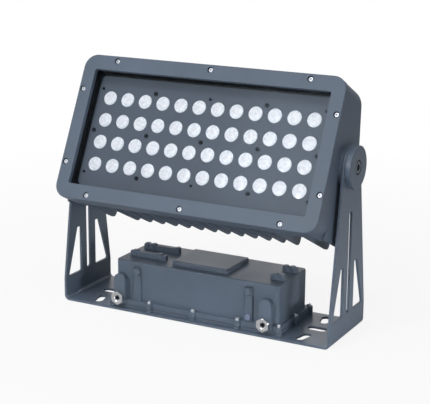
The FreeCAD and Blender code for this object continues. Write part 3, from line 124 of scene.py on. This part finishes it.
def powder_coat(name, colour, roughness, peel, painted_shade=None):
    """Baked powder paint: faint clouds of tone, fine speckle and an even orange peel; a given mask
    marks where it is painted near black as shade.
    """
    material, place = new_finish(name)
    clouds = place.noise(scale=11, detail=3).between(0.3, 0.7)
    speckle = place.noise(scale=1100, detail=1)
    body = clouds.mix(tone(colour, 0.93), tone(colour, 1.07))
    flecks = speckle.between(0.62, 0.8) * 0.35
    coat = flecks.mix(body, tone(colour, 1.35))
    # Painted shade: the space the mask marks is coloured near black.
    if painted_shade:
        coat = painted_shade(place).mix(coat, tone((0.006, 0.007, 0.008)))
    orange_peel = place.noise(scale=620, detail=2) + 0.6 * speckle
    place.surface({
        "Base Color": coat,
        "Roughness": roughness - 0.05 + 0.1 * clouds,
        "Specular IOR Level": 0.35,
        "Normal": place.bump(orange_peel, peel),
    })
    return material


def softened(node, name, width, body, material):
    """A copy of a built piece with its sharp edges rounded, which stands for it."""
    weld = 0.002 * mm
    sharp_turn = math.radians(35)
    crease_turn = math.radians(40)
    shape = bmesh.new()
    shape.from_mesh(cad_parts[node].data)
    bmesh.ops.remove_doubles(shape, verts=shape.verts, dist=weld)
    skin = BVHTree.FromBMesh(shape)
    sharp = [edge for edge in shape.edges if edge.calc_face_angle(0.0) > sharp_turn]
    bmesh.ops.bevel(
        shape, geom=sharp, offset=width, offset_type="OFFSET", affect="EDGES", segments=2,
        profile=0.5, clamp_overlap=False, material=-1)
    # Where edges run together, the rounding can throw a corner off the piece, and it goes back.
    for corner in shape.verts:
        nearest, _, _, distance = skin.find_nearest(corner.co)
        if distance > 0.5 * width:
            corner.co = nearest
    bmesh.ops.triangulate(shape, faces=shape.faces)
    mesh = bpy.data.meshes.new(name)
    shape.to_mesh(mesh)
    shape.free()
    mesh.materials.append(material)
    for face in mesh.polygons:
        face.use_smooth = True
    mesh.set_sharp_from_angle(angle=crease_turn)
    piece = bpy.data.objects.new(name, mesh)
    bpy.context.scene.collection.objects.link(piece)
    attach(piece, body)
    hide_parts(node)
    piece.modifiers.new("flat_faces_stay_flat", "WEIGHTED_NORMAL").keep_sharp = True


sheet_paint = powder_coat("sheet_powder_coat", paint_colour, roughness=0.34, peel=0.03 * mm)
softened("yoke_bracket", "yoke_sheet", deburred_edge, "yoke", sheet_paint)


# The driver box: a die-cast cover with a flange, gland pads, ribs, bars and a raised pad on top, on a
# flat plate with a rubber gasket between, all painted as the yoke, the castings a little rougher.
cover_edge = 0.7 * mm
plate_edge = 0.4 * mm
cast_roughness = 0.46
cast_peel = 0.08 * mm


def dress(material, *nodes):
    """Give built pieces that keep their shape their finish."""
    for node in nodes:
        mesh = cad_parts[node].data
        mesh.materials.clear()
        mesh.materials.append(material)


def moulded_rubber(name, colour, roughness):
    """Matt rubber with a pale bloom in patches and a fine pebbled skin."""
    material, place = new_finish(name)
    bloom = place.noise(scale=60, detail=3).between(0.35, 0.75)
    place.surface({
        "Base Color": bloom.mix(tone(colour), tone(colour, 1.7)),
        "Roughness": roughness + 0.1 * bloom,
        "Normal": place.bump(place.noise(scale=900, detail=2), 0.04 * mm),
    })
    return material


cast_paint = powder_coat("cast_powder_coat", paint_colour, cast_roughness, cast_peel)
softened("driver_housing", "driver_cover", cover_edge, "yoke", cast_paint)
softened("driver_bottom_plate", "driver_plate", plate_edge, "yoke", cast_paint)
grey_rubber = moulded_rubber("grey_silicone", (0.06, 0.075, 0.095), roughness=0.62)
dress(grey_rubber, "driver_gasket")


# Screws: cold-formed steel socket heads and flat heads with fine turning lines, all of one steel.
# Those of the driver box are coloured much lighter and made glossier, a painted highlight; those of
# the front frame and inside the boxes are dull stainless steel.
screw_edge = 0.35 * mm
polished_grain = 0.01 * mm


def bright_metal(name, colour, roughness, grain):
    """Bare metal with fine lines and cloudy wear."""
    material, place = new_finish(name)
    haze = place.noise(scale=160, detail=3).between(0.3, 0.7)
    fine = place.noise(scale=2600, detail=1)
    place.surface({
        "Base Color": haze.mix(tone(colour, 0.88), tone(colour, 1.04)),
        "Metallic": 1.0,
        "Roughness": roughness + 0.12 * haze,
        "Normal": place.bump(fine, grain),
    })
    return material


stainless = bright_metal(
    "stainless_steel", (0.56, 0.59, 0.64), roughness=0.36, grain=polished_grain)
steel_painted_lighter = bright_metal(
    "steel_with_painted_highlight", (0.88, 0.91, 0.96), roughness=0.2, grain=polished_grain)
# The driver box screws take the lighter steel: a painted highlight.
softened("driver_screws", "driver_screw_set", screw_edge, "yoke", steel_painted_lighter)
softened("bezel_screws", "bezel_screw_set", screw_edge, "head", stainless)
dress(stainless, "driver_mount_screws", "control_screws", "led_board_screws")


# Cable glands: nickel-plated brass bodies and clamping nuts round a rubber seal, and round moulded
# vent plugs that let the boxes breathe.
nut_edge = 0.15 * mm
gland_bodies = {"front_left": "yoke", "front_right": "yoke", "rear": "yoke", "head": "head"}
nickel = bright_metal("nickel_plate", (0.7, 0.71, 0.72), roughness=0.1, grain=polished_grain)
for spot, body in gland_bodies.items():
    softened(spot + "_gland_nut", spot + "_clamp_nut", nut_edge, body, nickel)
    dress(nickel, spot + "_gland_body")
    dress(grey_rubber, spot + "_gland_seal")


def moulded_plastic(name, colour, roughness, grain):
    """Moulded plastic, resin or lacquer: faint clouds of shade and a fine skin."""
    material, place = new_finish(name)
    cloud = place.noise(scale=40, detail=2).between(0.3, 0.7)
    place.surface({
        "Base Color": cloud.mix(tone(colour, 0.92), tone(colour, 1.08)),
        "Roughness": roughness + 0.08 * cloud,
        "Normal": place.bump(place.noise(scale=1500, detail=2), grain),
    })
    return material


fine_grain = 0.02 * mm
vent_plastic = moulded_plastic(
    "vent_plastic", (0.21, 0.25, 0.38), roughness=0.42, grain=fine_grain)
dress(vent_plastic, "driver_vent", "head_vent")


# Inside the driver box: two potted modules, and a control board with its terminals on brass posts.
# The resin was poured and set with a dull skin; the board is lacquered.
potting = moulded_plastic(
    "potting_compound", (0.05, 0.052, 0.056), roughness=0.38, grain=0.05 * mm)
dress(potting, "power_supply", "led_driver")
board_green = moulded_plastic(
    "board_lacquer", (0.03, 0.17, 0.08), roughness=0.3, grain=fine_grain)
dress(board_green, "control_board")
terminal_green = moulded_plastic(
    "terminal_plastic", (0.08, 0.24, 0.16), roughness=0.45, grain=fine_grain)
dress(terminal_green, "terminal_block")
brass = bright_metal("turned_brass", (0.74, 0.55, 0.26), roughness=0.25, grain=fine_grain)
dress(brass, "control_standoffs")


# The head: a die-cast housing with upright cooling fins, and a cast front frame screwed over it. The
# inside of its box is painted near black, a painted shade for the dark recess behind the window.
head_edge = 0.5 * mm
head_lean = math.radians(26.3)
pivot_height = 264.04 * mm
shade_painted_from = 26 * mm
shade_painted_half_width = 216 * mm
shade_painted_half_height = 110 * mm


def along(place, direction):
    """How far a point lies along a direction, from the floor's centre."""
    return place.node("VectorMath", {"operation": "DOT_PRODUCT"}, {0: place, 1: direction}, 1)


def out_of_face(place):
    """How far a point lies out of the head's tilted face, from the pivots."""
    direction = (0, -math.cos(head_lean), math.sin(head_lean))
    return along(place, direction) - pivot_height * math.sin(head_lean)


def up_face(place):
    """How far a point lies up the head's tilted face, from the pivots."""
    direction = (0, math.sin(head_lean), math.cos(head_lean))
    return along(place, direction) - pivot_height * math.cos(head_lean)


def head_box_painted_shade(place):
    """1 inside the head's box, in front of its floor, where black is painted as shade, and 0 on all
    its outer faces.
    """
    floor_fade = 0.4 * mm
    wall_fade = 1 * mm
    forward = out_of_face(place)
    sideways = place.maths("ABSOLUTE", along(place, (1, 0, 0)))
    height = place.maths("ABSOLUTE", up_face(place))
    past_floor = forward.between(shade_painted_from, shade_painted_from + floor_fade)
    within_width = sideways.between(shade_painted_half_width, shade_painted_half_width - wall_fade)
    within_height = height.between(shade_painted_half_height, shade_painted_half_height - wall_fade)
    return past_floor * within_width * within_height


# The inside of the head's box is painted near black: a painted shade.
head_paint = powder_coat(
    "head_powder_coat", paint_colour, cast_roughness, cast_peel, painted_shade=head_box_painted_shade)
softened("heatsink_housing", "head_casting", head_edge, "head", head_paint)
softened("bezel", "front_frame", head_edge, "head", cast_paint)


# The light engine: white boards with LEDs, black holders, and a painted mask plate on turned spacers,
# held by small blackened screws.
# The mask plate's coat is darker than the body paint it matches, a painted shade for its place deep
# in the recess behind the glass.
mask_paint_with_painted_shade = powder_coat(
    "mask_coat_with_painted_shade", (0.078, 0.1, 0.132), roughness=0.55, peel=0.03 * mm)
dress(mask_paint_with_painted_shade, "lens_mask")
dark_screw = bright_metal(
    "blackened_screw", (0.012, 0.013, 0.015), roughness=0.5, grain=fine_grain)
dress(dark_screw, "mask_screws_large", "mask_screws_small")
spacer_metal = bright_metal(
    "turned_aluminium", (0.7, 0.71, 0.72), roughness=0.3, grain=fine_grain)
dress(spacer_metal, "mask_spacers")
holder_black = moulded_plastic(
    "holder_plastic", (0.03, 0.03, 0.032), roughness=0.5, grain=0.03 * mm)
board_white = moulded_plastic(
    "white_solder_mask", (0.78, 0.79, 0.78), roughness=0.35, grain=fine_grain)
phosphor = moulded_plastic(
    "phosphor_silicone", (0.8, 0.66, 0.22), roughness=0.3, grain=fine_grain)
for side in ("left", "right"):
    dress(holder_black, "lens_holders_" + side)
    dress(board_white, "led_board_" + side)
    dress(phosphor, "leds_" + side)


# The lenses: moulded acrylic domes over collimating cones, with a warmer eye where each cone ends on
# its
# LED, a painted shade low on the right of each, and a faint painted glow of their own colour. They
# stand on the head's tilted face in four rows of twelve.
lens_pitch = 32 * mm
row_pitch = 36 * mm
eye_rim = 6 * mm
eye_core = 2 * mm
flank_start = 5 * mm
flank_rim = 10.5 * mm


def from_own_middle(distance, pitch):
    """How far a point lies from the middle of its own lens, where they stand a pitch apart."""
    wrapped = distance.node("Math", {"operation": "WRAP"}, {0: distance, 1: pitch, 2: 0.0})
    return wrapped - 0.5 * pitch


lens_plastic, place = new_finish("lens_plastic")
aside = from_own_middle(along(place, (1, 0, 0)), lens_pitch)
above = from_own_middle(up_face(place), row_pitch)
off_centre = place.node("CombineXYZ", {}, {0: aside, 1: above})
reach = place.node("VectorMath", {"operation": "LENGTH"}, {0: off_centre}, 1)
warm_eye = reach.between(eye_rim, eye_core)
beads = place.node("TexVoronoi", {"feature": "DISTANCE_TO_EDGE"}, {"Vector": place, "Scale": 330})
seams = beads.between(0.16, 0.0)
mottle = place.noise(scale=240, detail=2).between(0.44, 0.6)
# Painted shade: each lens is darker low on its right, towards its rim.
low_right = (above - aside).between(-4 * mm, -17 * mm)
painted_shade_flank = low_right * reach.between(flank_start, flank_rim)
clear_part = (0.6 * mottle).mix(tone((0.92, 0.95, 0.99)), tone((0.64, 0.68, 0.76)))
with_eye = (0.3 * warm_eye).mix(clear_part, tone((0.9, 0.83, 0.84)))
with_painted_shade = (0.6 * painted_shade_flank).mix(with_eye, tone((0.4, 0.45, 0.52)))
lens_colour = (0.3 * seams).mix(with_painted_shade, tone((0.55, 0.6, 0.67)))
place.surface({
    "Base Color": lens_colour,
    "Roughness": 0.12 + 0.12 * mottle,
    "Specular IOR Level": 0.9,
    # Painted glow: each lens gives out a little light of its own colour.
    "Emission Color": lens_colour,
    "Emission Strength": 0.08,
    "Normal": place.bump(mottle - 0.4 * seams, 0.05 * mm),
})
dress(lens_plastic, "lens_row_1", "lens_row_2", "lens_row_3", "lens_row_4")


# The window: clear tempered glass in a rubber channel. It lets the light through unbent and gives
# back a thin, cool reflection that grows towards its edges.
clear_colour = (0.975, 0.98, 0.985)
glare_colour = (0.7, 0.85, 1.0)
glare_share = 0.22
window_glass, place = new_finish("window_glass")
slant = place.node("Fresnel", {}, {"IOR": 1.45})
clear = place.node("BsdfTransparent", {}, {"Color": tone(clear_colour)})
gloss = place.node("BsdfPrincipled", {}, {
    "Base Color": tone(glare_colour),
    "Metallic": 1.0,
    "Roughness": 0.16,
})
sheet = place.node("MixShader", {}, {0: slant * glare_share, 1: clear, 2: gloss})
place.node("OutputMaterial", {}, {"Surface": sheet})
dress(window_glass, "front_glass")
black_rubber = moulded_rubber("black_rubber", (0.02, 0.021, 0.023), roughness=0.62)
dress(black_rubber, "glass_gasket")


# The pivots: plastic friction washers, and round painted clamp discs pulled tight by blackened socket
# head bolts that sit deep in the discs.
disc_edge = 0.8 * mm
washer_plastic = moulded_plastic(
    "friction_plastic", (0.05, 0.05, 0.052), roughness=0.5, grain=0.03 * mm)
dress(washer_plastic, "left_friction_washer", "right_friction_washer")
black_oxide = bright_metal(
    "black_oxide_steel", (0.2, 0.225, 0.26), roughness=0.24, grain=fine_grain)
for side in ("left", "right"):
    body = side + "_clamp"
    dress(black_oxide, side + "_clamp_bolt", side + "_clamp_washer")
    softened(side + "_clamp_disc", side + "_disc", disc_edge, body, sheet_paint)


# The studio: a pale floor under a white world, a high lamp and a wide one in front, a small low one
# that draws the highlights on edges and discs, weak ones at the sides and behind, and the camera.
floor_half = 30
floor_shape = bmesh.new()
bmesh.ops.create_grid(floor_shape, x_segments=1, y_segments=1, size=floor_half)
floor_mesh = bpy.data.meshes.new("floor")
floor_shape.to_mesh(floor_mesh)
floor_shape.free()
floor = bpy.data.objects.new("floor", floor_mesh)
bpy.context.scene.collection.objects.link(floor)

white = tone((1, 1, 1))
shadow_start = 0.35
shadow_end = 1.3
least_wash = 0.88
floor_finish, place = new_finish("pale_floor")
seen = place.node("LightPath", {}, {}, "Is Camera Ray")
from_centre = place.node("VectorMath", {"operation": "LENGTH"}, {0: place}, 1)
away = from_centre.between(shadow_start, shadow_end)
wash = place.node("Emission", {}, {"Color": white, "Strength": 1.0})
matte = place.node("BsdfDiffuse", {}, {"Color": tone((0.84, 0.84, 0.84))})
washed = seen * (least_wash + (1 - least_wash) * away)
floor_shader = place.node("MixShader", {}, {0: washed, 1: matte, 2: wash})
place.node("OutputMaterial", {}, {"Surface": floor_shader})
floor_mesh.materials.append(floor_finish)


def lamp(name, spot, target, size, power, spread=180):
    """A rectangular lamp, its size in metres and its power in watts, turned to its target."""
    light = bpy.data.lights.new(name, "AREA")
    light.spread = math.radians(spread)
    light.shape = "RECTANGLE"
    light.size, light.size_y = size
    light.energy = power
    holder = bpy.data.objects.new(name, light)
    bpy.context.scene.collection.objects.link(holder)
    holder.location = spot
    ray = Vector(target) - Vector(spot)
    holder.rotation_euler = ray.to_track_quat("-Z", "Y").to_euler()


middle = (0, 0, 0.2)
lamp("key_lamp", (0.1, -1.0, 2.4), middle, size=(0.8, 0.5), power=18)
lamp("front_lamp", (-0.6, -2.5, 1.8), middle, size=(1.5, 1.5), power=19)
lamp("low_lamp", (-0.8, -2.4, 1.0), middle, size=(0.3, 0.4), power=11)
lamp("left_lamp", (-2.6, -1.0, 1.2), (0, 0, 0.25), size=(1.2, 0.8), power=2)
lamp("side_lamp", (1.9, -0.9, 0.1), (0.2, 0, 0.02), size=(0.5, 0.2), power=0.28, spread=20)
lamp("back_lamp", (-1.2, 2.3, 0.8), (0, 0, 0.1), size=(0.8, 0.4), power=2.8)

sky_light = 0.27
mirror_light = 0.4
world = bpy.data.worlds.new("studio_world")
world.use_nodes = True
world.node_tree.nodes.clear()
rays = world.node_tree.nodes.new("ShaderNodeLightPath").outputs
backing = Shade(world.node_tree, rays["Is Camera Ray"])
mirrored = Shade(world.node_tree, rays["Is Glossy Ray"])
strength = sky_light + (1 - sky_light) * backing + mirror_light * mirrored
sky = backing.node("Background", {}, {"Color": white, "Strength": strength})
backing.node("OutputWorld", {}, {"Surface": sky})
bpy.context.scene.world = world
bpy.context.scene.view_settings.view_transform = "Standard"

camera_place = (0.91236, -1.71686, 0.69555)
azimuth = math.radians(27.815)
elevation = math.radians(14.844)
roll = math.radians(0.478)
optics = bpy.data.cameras.new("camera")
optics.sensor_width = 36
optics.lens = 107.88
optics.clip_end = 100
camera = bpy.data.objects.new("camera", optics)
bpy.context.scene.collection.objects.link(camera)
ahead = Vector((-math.sin(azimuth) * math.cos(elevation), math.cos(azimuth) * math.cos(elevation),
                -math.sin(elevation)))
level = Vector((math.cos(azimuth), math.sin(azimuth), 0))
upright = level.cross(ahead)
across = math.cos(roll) * level + math.sin(roll) * upright
upward = math.cos(roll) * upright - math.sin(roll) * level
turn = Matrix((across, upward, -ahead)).transposed()
camera.matrix_world = Matrix.Translation(camera_place) @ turn.to_4x4()
bpy.context.scene.camera = camera
